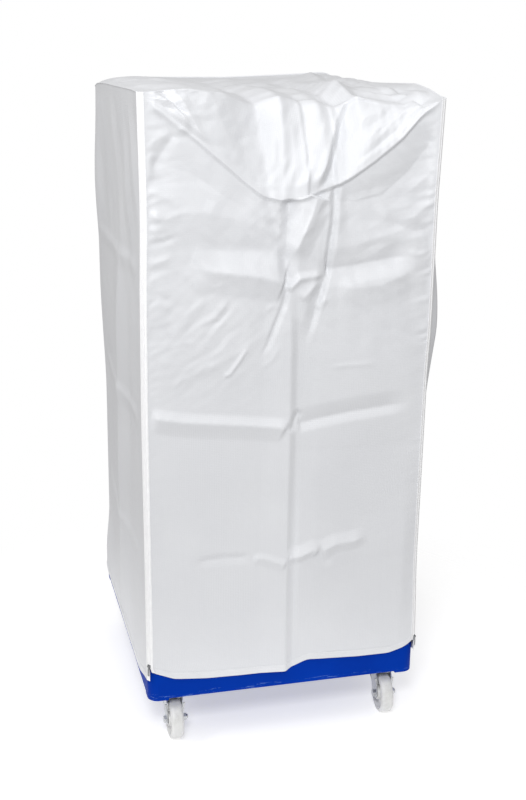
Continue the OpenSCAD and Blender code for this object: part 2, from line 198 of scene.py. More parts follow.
# The front's lower edge
hem_line = curve_through([
    (-0.36, 0.214), (-0.343, 0.206), (-0.306, 0.188), (-0.218, 0.18), (0.0, 0.176), (0.06, 0.201),
    (0.207, 0.193), (0.296, 0.193), (0.337, 0.206), (0.36, 0.228)], 0.006)
# How far each zip strays sideways from its straight line, over its height
left_zip_stray = curve_through([
    (0.15, 0.0), (0.3, 0.0), (0.9, -0.004), (1.2, -0.003), (1.34, 0.0), (1.41, 0.0), (1.7, -0.005)], 0.03)
right_zip_stray = curve_through([
    (0.15, 0.0), (0.27, 0.0), (0.45, -0.006), (1.00, -0.004), (1.06, 0.0), (1.41, 0.0), (1.5, 0.003),
    (1.7, 0.008)], 0.03)

# Creases of the front: path over (x, z), height outwards, width above and below a path that runs to the right
# (left and right of one that runs up), and the shares of its length over which its ends fade
FRONT_CREASES = [
    # the edges from folding: down the middle, two across, and the upper one that the sag has blurred
    ([(-0.002, 0.17), (-0.004, 0.5), (-0.002, 0.89), (-0.003, 1.07), (-0.011, 1.19)],
     0.006, 0.07, 0.018, (0, 0.1)),
    ([(0.016, 0.17), (0.014, 0.5), (0.016, 0.85), (0.017, 1.05), (0.01, 1.18)],
     -0.003, 0.018, 0.06, (0, 0.15)),
    ([(-0.35, 0.893), (-0.275, 0.878), (-0.18, 0.867), (-0.08, 0.855), (-0.027, 0.849), (-0.009, 0.84)],
     0.008, 0.024, 0.04, (0.02, 0.04)),
    ([(0.02, 0.852), (0.075, 0.863), (0.155, 0.876), (0.235, 0.884), (0.32, 0.893)],
     -0.008, 0.04, 0.024, (0.02, 0.25)),
    ([(0.000, 0.835), (0.01, 0.862), (0.025, 0.89)], -0.006, 0.016, 0.016, (0.1, 0.2)),
    ([(0.089, 0.995), (0.151, 0.999), (0.22, 1.0)], 0.0016, 0.008, 0.012, (0.3, 0.3)),
    ([(-0.245, 0.508), (-0.175, 0.513), (-0.095, 0.51)], -0.0035, 0.014, 0.022, (0.2, 0.2)),
    ([(-0.095, 0.508), (-0.06, 0.5), (-0.005, 0.48)], 0.005, 0.016, 0.022, (0.2, 0.1)),
    ([(0.001, 0.495), (0.03, 0.503), (0.06, 0.515), (0.085, 0.508)], 0.008, 0.03, 0.018, (0.05, 0.2)),
    ([(0.085, 0.51), (0.125, 0.528), (0.165, 0.53), (0.215, 0.54)], 0.0075, 0.03, 0.026, (0.1, 0.3)),
    ([(0.07, 0.508), (0.09, 0.49), (0.115, 0.47)], -0.0034, 0.014, 0.018, (0.1, 0.4)),
    ([(-0.27, 1.262), (-0.251, 1.252), (-0.168, 1.237), (-0.078, 1.226), (-0.021, 1.208)],
     0.0135, 0.065, 0.055, (0.45, 0.03)),
    ([(-0.3, 1.3), (-0.227, 1.293), (-0.156, 1.29), (-0.078, 1.285), (-0.034, 1.245)],
     -0.0045, 0.06, 0.05, (0.5, 0.2)),
    ([(0.08, 1.237), (0.141, 1.243), (0.197, 1.253), (0.26, 1.262), (0.31, 1.262)],
     -0.0125, 0.05, 0.045, (0.03, 0.25)),
    ([(0.105, 1.195), (0.155, 1.19), (0.22, 1.197), (0.271, 1.216), (0.32, 1.24)],
     0.006, 0.045, 0.05, (0.2, 0.25)),
    # tension folds that run down from the lowest point of the sag
    ([(-0.013, 1.41), (-0.014, 1.347), (-0.018, 1.288), (-0.018, 1.24), (-0.016, 1.19)],
     -0.012, 0.03, 0.022, (0.05, 0.2)),
    ([(0.053, 1.415), (0.04, 1.369), (0.014, 1.311), (-0.01, 1.262)], 0.015, 0.04, 0.045, (0.03, 0.25)),
    ([(0.102, 1.43), (0.097, 1.345), (0.089, 1.285), (0.086, 1.237), (0.072, 1.188), (0.056, 1.128),
      (0.04, 1.079), (0.025, 1.035)], -0.01, 0.014, 0.026, (0, 0.35)),
    ([(0.086, 1.42), (0.085, 1.345), (0.077, 1.285), (0.072, 1.237)], 0.005, 0.012, 0.012, (0, 0.4)),
    ([(-0.017, 1.215), (-0.016, 1.192), (-0.025, 1.155), (-0.044, 1.107), (-0.061, 1.059), (-0.083, 1.02)],
     -0.0052, 0.013, 0.009, (0.05, 0.35)),
    ([(-0.013, 1.191), (0.016, 1.218), (0.061, 1.223), (0.08, 1.228)], 0.006, 0.016, 0.012, (0.05, 0.2)),
    ([(0.02, 1.165), (0.04, 1.185), (0.066, 1.212)], 0.006, 0.022, 0.02, (0.2, 0.2)),
    ([(-0.067, 1.412), (-0.05, 1.347), (-0.026, 1.264), (-0.018, 1.22)], -0.004, 0.02, 0.02, (0, 0.2)),
    ([(0.063, 1.14), (0.07, 1.155), (0.085, 1.17)], 0.004, 0.014, 0.014, (0.2, 0.3)),
    # the facet that hangs below the right branch of the sag, and the broad waves of the left half
    ([(0.095, 1.398), (0.15, 1.398), (0.218, 1.411), (0.284, 1.467), (0.336, 1.534), (0.354, 1.576)],
     -0.012, 0.07, 0.14, (0.12, 0.15)),
    ([(-0.352, 1.5), (-0.25, 1.47), (-0.16, 1.41), (-0.09, 1.372)], -0.0055, 0.06, 0.08, (0.1, 0.2)),
    ([(-0.355, 1.377), (-0.227, 1.381), (-0.085, 1.35)], 0.005, 0.07, 0.08, (0.1, 0.3)),
    # fans from the two upper corners
    ([(-0.345, 1.642), (-0.329, 1.614), (-0.307, 1.597), (-0.278, 1.568), (-0.245, 1.562)],
     0.006, 0.02, 0.016, (0.05, 0.2)),
    ([(-0.285, 1.56), (-0.305, 1.53), (-0.325, 1.5), (-0.345, 1.47)], -0.0037, 0.02, 0.016, (0.1, 0.3)),
    ([(-0.352, 1.53), (-0.325, 1.545), (-0.295, 1.56)], 0.0031, 0.018, 0.018, (0.1, 0.3)),
    ([(-0.352, 1.43), (-0.31, 1.418), (-0.27, 1.39)], 0.0025, 0.016, 0.018, (0.1, 0.5)),
    ([(-0.352, 1.375), (-0.31, 1.365), (-0.25, 1.385)], 0.0025, 0.014, 0.016, (0.1, 0.5)),
    ([(-0.352, 1.31), (-0.31, 1.315), (-0.27, 1.33)], -0.0025, 0.012, 0.014, (0.1, 0.5)),
    ([(-0.352, 1.26), (-0.315, 1.27), (-0.28, 1.285)], 0.0025, 0.014, 0.014, (0.1, 0.5)),
    ([(0.352, 1.475), (0.3, 1.43), (0.27, 1.41)], 0.0031, 0.022, 0.022, (0.1, 0.4)),
    ([(0.352, 1.4), (0.3, 1.36), (0.24, 1.345)], 0.0034, 0.022, 0.022, (0.1, 0.5)),
    ([(0.352, 1.33), (0.3, 1.325), (0.24, 1.35), (0.19, 1.345)], -0.0031, 0.016, 0.018, (0.1, 0.5)),
    ([(0.352, 1.275), (0.315, 1.268), (0.285, 1.275)], 0.0031, 0.012, 0.012, (0.1, 0.3)),
    # short slanting dents of the left half
    ([(-0.24, 1.111), (-0.191, 1.131), (-0.155, 1.173)], 0.0026, 0.016, 0.012, (0.3, 0.25)),
    ([(-0.205, 1.108), (-0.18, 1.122), (-0.15, 1.155)], -0.0018, 0.01, 0.01, (0.3, 0.3)),
    ([(-0.11, 1.056), (-0.13, 1.024), (-0.154, 0.991), (-0.172, 0.985)], 0.0034, 0.008, 0.01, (0.2, 0.1)),
    ([(-0.27, 1.13), (-0.235, 1.16), (-0.205, 1.185)], 0.0014, 0.012, 0.012, (0.3, 0.4)),
    ([(-0.205, 1.2), (-0.185, 1.205), (-0.165, 1.215)], 0.001, 0.01, 0.01, (0.3, 0.3)),
    ([(-0.25, 0.985), (-0.215, 1.01), (-0.18, 1.02)], 0.0016, 0.014, 0.014, (0.3, 0.3)),
    ([(-0.3, 0.96), (-0.27, 0.985), (-0.245, 0.99)], 0.0012, 0.012, 0.012, (0.3, 0.3)),
    ([(-0.3, 1.06), (-0.27, 1.075), (-0.23, 1.07)], 0.001, 0.01, 0.012, (0.3, 0.3)),
    ([(-0.08, 1.00), (-0.05, 1.02), (-0.03, 1.06)], 0.0012, 0.012, 0.012, (0.3, 0.3)),
    ([(-0.07, 1.14), (-0.05, 1.155), (-0.03, 1.15)], 0.0012, 0.01, 0.01, (0.3, 0.3)),
]


def front_relief(x, z):
    """How far the front stands out of its plane at (x, z)."""
    out = np.zeros(np.shape(x))
    for path, height, left, right, ends in FRONT_CREASES:
        out += crease(x, z, path, height, left, right, ends)
    from_zip = ZIP_X - np.abs(x)
    out *= smooth((from_zip + 0.001) / 0.024)
    inside = smooth((from_zip + 0.004) / 0.05)
    open_sides = smooth((from_zip + 0.008) / 0.05)
    # broad waves and crumpled cloth, stronger near the sag
    upper = smooth((z - 0.92) / 0.25)
    out += 0.003 * inside * lumps(x, z, 0.16, 3)
    out += 0.0007 * inside * facets(x, z, 0.06, 4)
    out += 0.002 * upper * inside * facets(x, z, 0.04, 5, 1.8, -0.9)
    out += 0.0012 * upper * facets(x, z, 0.015, 9, 2.0, -0.5)
    out += 0.0013 * spot(x, z, (-0.2, 1.07), (0.12, 0.13)) * facets(x, z, 0.014, 13, 3.0, 0.85)
    out += 0.0024 * spot(x, z, (0.22, 1.36), (0.12, 0.12)) * facets(x, z, 0.02, 17, 2.5, 0.5)
    out += 0.003 * spot(x, z, (0.02, 1.38), (0.1, 0.07)) * facets(x, z, 0.018, 19, 1.8, 1.2)
    # puckers along the zips, and the lower right quarter, which stands out between two fold marks
    pucker = np.exp(-np.maximum(from_zip, 0) / 0.035) * smooth(from_zip / 0.01)
    out += (0.0006 + 0.0022 * upper) * pucker * facets(x, z, 0.012, 23, 4.0, 0.1 * np.pi)
    swell = np.clip(np.minimum((z - 0.2) / 0.29, (0.78 - z) / 0.28), 0, 1)
    out += 0.009 * smooth(x / 0.03) * swell * inside
    # the ridge of the fold that the front hangs from, and the cloth tucked in under it
    under = fold_line(x) - z
    right_half = smooth(x / 0.08)
    out += 0.004 * (1 - 0.7 * right_half) * np.maximum(1 - np.abs(under - 0.005) / 0.01, 0) * open_sides
    tuck = (0.0015 + 0.004 * right_half) * np.exp(-np.maximum(under - 0.012, 0) / 0.05)
    return out - tuck * smooth(under / 0.012) * open_sides


def front_half_width(side, z):
    """Where the front ends at a zip: it pulls away from the zip below the closed slider."""
    stray = right_zip_stray(z) if side > 0 else -left_zip_stray(z)
    opened = np.maximum(SLIDER_Z - 0.004 - z, 0)
    return ZIP_X + stray - 0.35 * opened


def front_point(u, z):
    """A point of the hanging front: u runs from 0 at the left zip to 1 at the right one."""
    left = -front_half_width(-1, z)
    right = front_half_width(1, z)
    x = left + (right - left) * u
    y = FRONT_Y - front_relief(x, z)
    return stack(x, y, z)


def over_rails(x, y):
    """The least height at which cloth clears the walls' top tubes, falling away beside each of them."""
    bend = 0.07
    clearance = 0.0018
    height = np.full(np.shape(x), -1.0)
    for node in ("left_wall_frame", "right_wall_frame", "rear_wall_frame"):
        low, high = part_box(node)
        if node == "rear_wall_frame":
            across, along, sides, ends = y, x, (low.y, high.y), (low.x, high.x)
        else:
            across, along, sides, ends = x, y, (low.x, high.x), (low.y, high.y)
        short = np.clip(bend - np.minimum(along - ends[0], ends[1] - along), 0, 2 * bend)
        drop = bend - np.sqrt(np.maximum(bend ** 2 - short ** 2, 0)) + np.maximum(short - bend, 0) * 3
        beside = np.maximum(np.abs(across - (sides[0] + sides[1]) / 2) - (sides[1] - sides[0]) / 2, 0)
        height = np.maximum(height, high.z + clearance - drop - 0.6 * beside)
    return height


# The leaning part's length as its creases count it, and the height at which it meets the zips
LEAN_SPAN = 0.2
LEAN_Z = 1.6
# Creases of the leaning part: path over x and the height along the cloth, out of LEAN_SPAN
LEAN_CREASES = [
    ([(0.05, 0.0), (0.078, 0.04), (0.098, 0.09), (0.118, 0.14), (0.15, 0.2)],
     0.015, 0.085, 0.014, (0, 0.001)),
    ([(0.066, 0.0), (0.094, 0.04), (0.114, 0.09), (0.134, 0.14), (0.166, 0.2)],
     -0.008, 0.014, 0.08, (0, 0.001)),
    ([(-0.345, 0.18), (-0.315, 0.11), (-0.28, 0.06), (-0.25, 0.0)], 0.009, 0.018, 0.034, (0.1, 0.1)),
    ([(-0.29, 0.2), (-0.27, 0.12), (-0.245, 0.05), (-0.22, 0.0)], 0.008, 0.026, 0.04, (0.1, 0.1)),
    ([(-0.315, 0.19), (-0.292, 0.12), (-0.262, 0.05)], -0.006, 0.018, 0.02, (0.1, 0.2)),
    ([(-0.2, 0.2), (-0.18, 0.12), (-0.14, 0.04)], 0.004, 0.03, 0.05, (0.05, 0.3)),
    ([(-0.012, 0.02), (0.004, 0.06), (0.006, 0.11), (0.000, 0.16)], 0.0039, 0.016, 0.02, (0.1, 0.3)),
    ([(-0.035, 0.06), (-0.03, 0.1), (-0.032, 0.15)], -0.0033, 0.014, 0.02, (0.2, 0.3)),
    ([(0.028, 0.015), (0.04, 0.05), (0.052, 0.1)], 0.0029, 0.014, 0.018, (0.1, 0.3)),
    ([(-0.09, 0.012), (-0.04, 0.022), (0.01, 0.02), (0.05, 0.035)], 0.0023, 0.01, 0.01, (0.2, 0.2)),
    ([(0.165, 0.05), (0.2, 0.08), (0.25, 0.1), (0.31, 0.16)], 0.0039, 0.026, 0.03, (0.2, 0.2)),
    ([(0.13, 0.06), (0.17, 0.12), (0.24, 0.16)], 0.0033, 0.022, 0.026, (0.2, 0.2)),
    ([(0.14, 0.02), (0.2, 0.035), (0.27, 0.06)], -0.0033, 0.018, 0.022, (0.2, 0.2)),
]


def lean_base(u):
    """At share u of the front's width: the place x, and the heights there of the fold and of the seam."""
    left, right = front_half_width(-1, LEAN_Z), front_half_width(1, LEAN_Z)
    x = -left + (right + left) * u
    return x, np.minimum(fold_line(x), edge_line(x) - 0.003), edge_line(x)


def lean_point(u, w):
    """A point of the leaning part: w runs from 0 at the fold to 1 at the roof's edge."""
    x0, low, high = lean_base(u)
    cloth_length = TOP + 0.006 - low
    inside = smooth((ZIP_X - np.abs(x0)) / 0.05)
    for _ in range(3):
        back = np.sqrt(np.maximum(cloth_length ** 2 - (high - low) ** 2, 0)) * inside
        high = np.maximum(high, over_rails(x0, FRONT_Y + back))
    start = front_point(u, low)
    rounded, easing = 0.78, 1.6
    rise = (w - easing * np.maximum(w - rounded, 0) ** 2) / (1 - easing * (1 - rounded) ** 2)
    along = w * LEAN_SPAN
    relief = 0.0036 * lumps(x0, along, 0.09, 23)
    relief += 0.003 * facets(x0, along, 0.04, 25, 1.6, 1.1)
    relief += 0.0018 * facets(x0, along, 0.016, 27, 1.8, 1.3)
    for path, height, left, right, ends in LEAN_CREASES:
        relief += crease(x0, along, path, height, left, right, ends)
    relief *= inside * smooth(w / 0.12) * smooth((1 - w) / 0.1)
    x = start[..., 0] * (1 - w) + x0 * w
    y = start[..., 1] + back * (0.45 * w + 0.55 * w * w)
    return stack(x, y - 0.8 * relief, low + (high - low) * rise + 0.6 * relief)


# ---- meshes

def link_object(name, data):
    """A new object of that name in the scene."""
    thing = bpy.data.objects.new(name, data)
    bpy.context.scene.collection.objects.link(thing)
    return thing


def link_mesh(name, points, faces):
    """A new smooth-shaded object of that name in the scene."""
    mesh = bpy.data.meshes.new(name)
    mesh.from_pydata(points.tolist(), [], faces)
    mesh.polygons.foreach_set("use_smooth", np.ones(len(faces), bool))
    return link_object(name, mesh)


def grid_piece(name, points, cloth_uv, thickness=CLOTH_T, flip=False, spare=(0, 0)):
    """A closed sheet from a grid of points, rows by columns from low to high, seen from outside.

    cloth_uv holds each point's distances across and along the flat cloth, for the weave. spare counts the
    rows at the low and high ends that belong to the next sheet: they only give the shading at the shared
    edge, and are left out.
    """
    normal = np.cross(np.gradient(points, axis=1), np.gradient(points, axis=0))
    normal = normal / np.linalg.norm(normal, axis=-1)[..., None] * (-1 if flip else 1)
    kept = slice(spare[0], points.shape[0] - spare[1])
    points, normal, cloth_uv = points[kept], normal[kept], cloth_uv[kept]
    rows, columns = points.shape[:2]
    count = rows * columns
    index = np.arange(count).reshape(rows, columns)
    front = np.stack([index[:-1, :-1], index[:-1, 1:], index[1:, 1:], index[1:, :-1]], axis=-1).reshape(-1, 4)
    border = np.concatenate([index[0, :-1], index[:-1, -1], index[-1, :0:-1], index[:0:-1, 0]])
    if flip:
        front, border = front[:, ::-1], border[::-1]
    after = np.roll(border, -1)
    rim = np.stack([after, border, border + count, after + count], axis=-1)
    quads = np.concatenate([front, front[:, ::-1] + count, rim])
    flat = points.reshape(-1, 3)
    across = normal.reshape(-1, 3)
    everything = np.concatenate([flat, flat - across * thickness])

    piece = link_mesh(name, everything, quads.tolist())
    uv = piece.data.uv_layers.new(name="cloth")
    doubled_uv = np.concatenate([cloth_uv.reshape(-1, 2)] * 2)
    uv.data.foreach_set("uv", doubled_uv[quads.ravel()].astype(np.float32).ravel())
    rim_corner = everything[rim[:, 1]]
    rim_normal = np.cross(everything[rim[:, 2]] - rim_corner, everything[rim[:, 0]] - rim_corner)
    rim_normal = rim_normal / np.maximum(np.linalg.norm(rim_normal, axis=1), 1e-12)[:, None]
    corner_normal = np.concatenate([across[front.ravel()], -across[front[:, ::-1].ravel()],
                                    np.repeat(rim_normal, 4, axis=0)])
    piece.data.normals_split_custom_set(corner_normal.tolist())
    return piece


def finish_piece(piece, material, body):
    """The piece with its material and, when a body is given, attached to that body."""
    piece.data.materials.append(material)
    if body:
        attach(piece, body)
    return piece


# ---- materials

# How far apart a wave texture's bands are at scale 1
BANDS_PERIOD = 0.314


class Nodes:
    """A material's node tree, with short calls for the nodes that every finish here uses."""

    def __init__(self, name):
        self.material = bpy.data.materials.new(name)
        self.material.use_nodes = True
        self.tree = self.material.node_tree
        self.shader = self.tree.nodes["Principled BSDF"]

    def add(self, kind, **values):
        node = self.tree.nodes.new(kind)
        for key, value in values.items():
            if hasattr(node, key):
                setattr(node, key, value)
            else:
                node.inputs[key.replace("_", " ")].default_value = value
        return node

    def link(self, a, b):
        self.tree.links.new(a, b)

    def set(self, **values):
        for key, value in values.items():
            self.shader.inputs[key.replace("_", " ")].default_value = value

    def coordinates(self, kind="Object", scale=(1, 1, 1)):
        if kind == "cloth":
            source = self.add("ShaderNodeUVMap", uv_map="cloth").outputs["UV"]
        else:
            source = self.add("ShaderNodeTexCoord").outputs[kind]
        mapping = self.add("ShaderNodeMapping")
        mapping.inputs["Scale"].default_value = scale
        self.link(source, mapping.inputs["Vector"])
        return mapping.outputs["Vector"]

    def blend(self, a, share_a, b, share_b):
        return self.math("ADD", self.math("MULTIPLY", a, share_a), self.math("MULTIPLY", b, share_b))

    def noise(self, vector, scale, detail=3.0, roughness=0.5):
        node = self.add("ShaderNodeTexNoise", Scale=scale, Detail=detail, Roughness=roughness)
        self.link(vector, node.inputs["Vector"])
        return node.outputs["Fac"]

    def wave(self, vector, pitch, direction):
        """Bands two pitches apart, so that over and under alternate from one tape to the next."""
        node = self.add("ShaderNodeTexWave", wave_type="BANDS", bands_direction=direction,
                        Scale=BANDS_PERIOD / pitch / 2)
        self.link(vector, node.inputs["Vector"])
        return node.outputs["Fac"]

    def math(self, operation, a, b):
        node = self.add("ShaderNodeMath", operation=operation)
        for socket, value in zip(node.inputs, (a, b)):
            if isinstance(value, (int, float)):
                socket.default_value = value
            else:
                self.link(value, socket)
        return node.outputs[0]

    def ramp(self, factor, stops):
        node = self.add("ShaderNodeValToRGB")
        elements = node.color_ramp.elements
        while len(elements) < len(stops):
            elements.new(0.5)
        for element, (place, colour) in zip(elements, stops):
            element.position = place
            element.color = (*colour, 1) if hasattr(colour, "__len__") else (colour, colour, colour, 1)
        self.link(factor, node.inputs["Fac"])
        return node.outputs["Color"]

    def colour(self, factor, stops):
        self.link(self.ramp(factor, stops), self.shader.inputs["Base Color"])

    def roughness(self, factor, low, high):
        self.link(self.ramp(factor, [(0.3, low), (0.7, high)]), self.shader.inputs["Roughness"])

    def bump(self, *layers):
        """Layers are (height, strength, distance), from the finest to the coarsest."""
        normal = None
        for height, strength, distance in layers:
            node = self.add("ShaderNodeBump", Strength=strength, Distance=distance)
            self.link(height, node.inputs["Height"])
            if normal is not None:
                self.link(normal, node.inputs["Normal"])
            normal = node.outputs["Normal"]
        self.link(normal, self.shader.inputs["Normal"])


def woven_cloth(name, light, dark, weave_pitch=0.0022, relief=0.5, gloss=0.5):
    """Woven polyethylene tape cloth: flat tapes over and under, a faint gloss and fine crinkles."""
    n = Nodes(name)
    uv = n.coordinates("cloth")
    weave = n.math("MULTIPLY", n.wave(uv, weave_pitch, "X"), n.wave(uv, weave_pitch, "Y"))
    cloud = n.noise(uv, 5.0, 4.0)
    crinkle = n.noise(uv, 42.0, 5.0, 0.6)
    streak = n.noise(n.coordinates("cloth", (90, 6, 1)), 1.0, 2.0)
    tone = n.blend(n.blend(cloud, 0.65, streak, 0.15), 1.0, weave, 0.25)
    n.colour(tone, [(0.3, dark), (0.7, light)])
    n.roughness(crinkle, gloss - 0.07, gloss + 0.1)
    n.set(Specular_IOR_Level=0.45, Sheen_Weight=0.06, Sheen_Roughness=0.4)
    n.bump((weave, 0.8 * relief, 0.0005), (crinkle, 0.36 * relief, 0.0018))
    return n.material


def zip_cloth():
    """Knitted zip tape: fine ribs along its length."""
    n = Nodes("zip_tape_white")
    uv = n.coordinates("cloth")
    ribs = n.wave(uv, 0.0012, "X")
    knit = n.wave(uv, 0.0016, "Y")
    tone = n.noise(uv, 60.0, 3.0)
    n.colour(tone, [(0.3, (0.93, 0.93, 0.94)), (0.7, (0.985, 0.985, 0.99))])
    n.roughness(tone, 0.62, 0.75)
    n.set(Sheen_Weight=0.12)
    n.bump((n.math("MULTIPLY", ribs, knit), 0.35, 0.0003))
    return n.material


def moulded_plastic(name, base, deep, highlight_colour, highlight_below):
    """Grained plastic with painted highlights: pale streaks along its lower edge, where light catches its
    rounded bottom edge.
    """
    n = Nodes(name)
    place = n.coordinates("Object")
    fine = n.noise(place, 900.0, 2.0)
    cloud = n.noise(place, 7.0, 4.0)
    streak_noise = n.noise(n.coordinates("Object", (18, 18, 260)), 1.0, 5.0, 0.7)
    split = n.add("ShaderNodeSeparateXYZ")
    n.link(place, split.inputs[0])
    # painted highlight: pale streaks mixed into the colour near the lower edge, standing in for light caught on
    # the rounded bottom edge
    low = n.math("LESS_THAN", split.outputs["Z"], highlight_below)
    painted_highlight = n.math("MULTIPLY", n.math("GREATER_THAN", streak_noise, 0.6), low)
    body = n.ramp(cloud, [(0.3, deep), (0.7, base)])
    mix = n.add("ShaderNodeMix", data_type="RGBA")
    n.link(n.math("MULTIPLY", painted_highlight, 0.55), mix.inputs["Factor"])
    n.link(body, mix.inputs["A"])
    mix.inputs["B"].default_value = (*highlight_colour, 1)
    n.link(mix.outputs["Result"], n.shader.inputs["Base Color"])
    n.roughness(cloud, 0.42, 0.58)
    n.set(Specular_IOR_Level=0.03)
    n.bump((fine, 0.25, 0.0002), (streak_noise, 0.1, 0.0005))
    return n.material


def zinc(name, light, dark, rough):
    """Zinc plating: a dull mirror with cloudy grain and rolled streaks."""
    n = Nodes(name)
    place = n.coordinates("Object")
    cloud = n.noise(place, 55.0, 5.0, 0.6)
    streak = n.noise(n.coordinates("Object", (40, 40, 400)), 1.0, 3.0)
    n.colour(n.blend(cloud, 0.7, streak, 0.3), [(0.35, dark), (0.65, light)])
    n.roughness(cloud, rough - 0.08, rough + 0.14)
    n.set(Metallic=1.0)
    n.bump((streak, 0.12, 0.0003), (cloud, 0.1, 0.0005))
    return n.material


def nylon():
    """White moulded nylon with rolling dust on it."""
    n = Nodes("wheel_nylon_white")
    place = n.coordinates("Object")
    cloud = n.noise(place, 30.0, 5.0, 0.6)
    specks = n.noise(place, 420.0, 3.0)
    n.colour(n.blend(cloud, 0.7, specks, 0.3),
             [(0.32, (0.58, 0.58, 0.565)), (0.5, (0.7, 0.7, 0.69)), (0.7, (0.74, 0.74, 0.73))])
    n.roughness(cloud, 0.32, 0.5)
    n.set(Subsurface_Weight=0.06, Subsurface_Radius=(0.004, 0.004, 0.004))
    n.bump((specks, 0.15, 0.0002), (cloud, 0.15, 0.0006))
    return n.material


COVER = woven_cloth("cover_cloth_white", (0.8, 0.81, 0.83), (0.76, 0.77, 0.795))
HEM = woven_cloth("hem_cloth_white", (0.83, 0.84, 0.86), (0.785, 0.795, 0.815), relief=0.7)
TAPE = zip_cloth()
THREAD = woven_cloth("thread_white", (0.95, 0.95, 0.95), (0.86, 0.87, 0.88), 0.0009, 0.8, 0.6)
# the pale blue and the height after it paint highlights along the deck's lower edge
DECK = moulded_plastic("deck_blue", (0.0, 0.04, 0.4), (0.0, 0.032, 0.34), (0.16, 0.3, 0.66), 0.146)
CASTER = zinc("caster_zinc", (0.72, 0.73, 0.74), (0.5, 0.51, 0.52), 0.38)
WALL = zinc("wall_zinc", (0.78, 0.79, 0.8), (0.6, 0.61, 0.63), 0.3)
BEARING = zinc("bearing_steel", (0.48, 0.48, 0.5), (0.33, 0.33, 0.35), 0.42)
SLIDER = zinc("zip_metal", (0.46, 0.47, 0.48), (0.27, 0.28, 0.29), 0.36)
WHEEL = nylon()

CAD_FINISHES = {
    "deck_plastic": DECK,
    "wall_steel": WALL,
    "caster_zinc": CASTER,
    "bearing_steel": BEARING,
    "wheel_nylon": WHEEL,
    "zip_metal": SLIDER,
}
EDGE_ROUNDING = {
    "deck_plastic": 0.003,
    "caster_zinc": 0.0007,
    "zip_metal": 0.0005,
}


def finish_cad_nodes():
    """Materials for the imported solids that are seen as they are, and rounded edges for some of them."""
    for part in frame["record"]["subparts"]:
        node = frame["nodes"][part["node"]]
        slot = part["material_slot"]
        if slot not in CAD_FINISHES:
            continue
        node.data.materials.clear()
        node.data.materials.append(CAD_FINISHES[slot])
        if slot in EDGE_ROUNDING:
            weld = node.modifiers.new("weld", "WELD")
            weld.merge_threshold = 0.00002
            bevel = node.modifiers.new("edges", "BEVEL")
            bevel.width = EDGE_ROUNDING[slot]
            bevel.segments = 3
            bevel.limit_method = "ANGLE"
            bevel.angle_limit = math.radians(35)
            bevel.harden_normals = True


# ---- the cover's sheets

# The number of quads across each sheet of the front
COLUMNS = 180
# How far up the front's lower edge, following the hem line, shifts the cloth
HEM_REACH = 0.16


def follow_hem(x, z):
    """Heights of the front's lowest stretch, moved so that its lower edge follows the hem line."""
    return z + (hem_line(x) - HEM_Z) * smooth((HEM_Z + HEM_REACH - z) / HEM_REACH)


def front_sheet(name, low, high, pitch, hem=False):
    """A stretch of the hanging front, between two heights."""
    count = max(2, int(round((high - low) / pitch)))
    step = (high - low) / count
    spare_low = 0 if hem else 1
    z = low + step * np.arange(-spare_low, count + 2)
    u = np.linspace(0, 1, COLUMNS + 1)
    grid_u, grid_z = np.meshgrid(u, z)
    if hem:
        grid_z = follow_hem((grid_u - 0.5) * 2 * ZIP_X, grid_z)
    points = front_point(grid_u, grid_z)
    return grid_piece(name, points, stack(grid_u * 2 * ZIP_X, grid_z), spare=(spare_low, 1))


def cover_head():
    """The top of the front, which stays up: a hanging part, the fold, and the part that leans back."""
    u = np.linspace(0, 1, COLUMNS + 1)
    hanging_rows, leaning_rows = 51, 44
    hang = np.arange(-1, hanging_rows)[:, None] / hanging_rows
    lean = np.linspace(0, 1, leaning_rows)[:, None]
    fold = lean_base(u)[1]
    height = HEAD_LOW_Z + (fold - HEAD_LOW_Z) * hang
    points = np.concatenate([front_point(*np.broadcast_arrays(u, height)),
                             lean_point(*np.broadcast_arrays(u, lean))], axis=0)
    along = np.concatenate([height, fold + (TOP - fold) * lean], axis=0)
    return grid_piece("cover_head_cloth", points, stack(u * 2 * ZIP_X, along), spare=(1, 0))


# Heights of the roof's back edge from left to right, and of its left and right edges from front to back
back_edge = curve_through([
    (-0.366, 1.636), (-0.345, 1.65), (-0.31, 1.658), (-0.25, 1.664), (0.02, 1.666), (0.22, 1.676),
    (0.32, 1.683), (0.366, 1.662)], 0.012)
left_edge = curve_through([
    (-0.4115, 1.648), (-0.3, 1.65), (0.2, 1.652), (0.35, 1.648), (0.4115, 1.636)], 0.02)
right_edge = curve_through([
    (-0.4115, 1.636), (-0.36, 1.642), (-0.32, 1.654), (-0.22, 1.666), (0.0, 1.662), (0.25, 1.656),
    (0.4115, 1.662)], 0.012)


def side_edge(side, y):
    """The height of the roof's edge at that side."""
    return left_edge(y) if side < 0 else right_edge(y)


def zip_corner(side, z, share, on_flap=False):
    """A point on the chamfered front corner: share runs from 0 at the front panel to 1 at the side panel.

    Below the slider the flap's half goes with the front panel, which pulls away from the side.
    """
    base = front_half_width(side, z if on_flap else np.maximum(z, SLIDER_Z))
    x = base + ZIP_BAND * share * math.cos(ZIP_TURN)
    y = FRONT_Y + ZIP_BAND * share * math.sin(ZIP_TURN) - 0.0025 * np.sin(math.pi * np.clip(share, 0, 1))
    return side * x, y


def rear_draw(side, z):
    """How far a rear corner is drawn in below the top."""
    return (0.011 if side < 0 else 0.003) * smooth((z - 0.22) / 0.15) * smooth((1.1 - z) / 0.35)


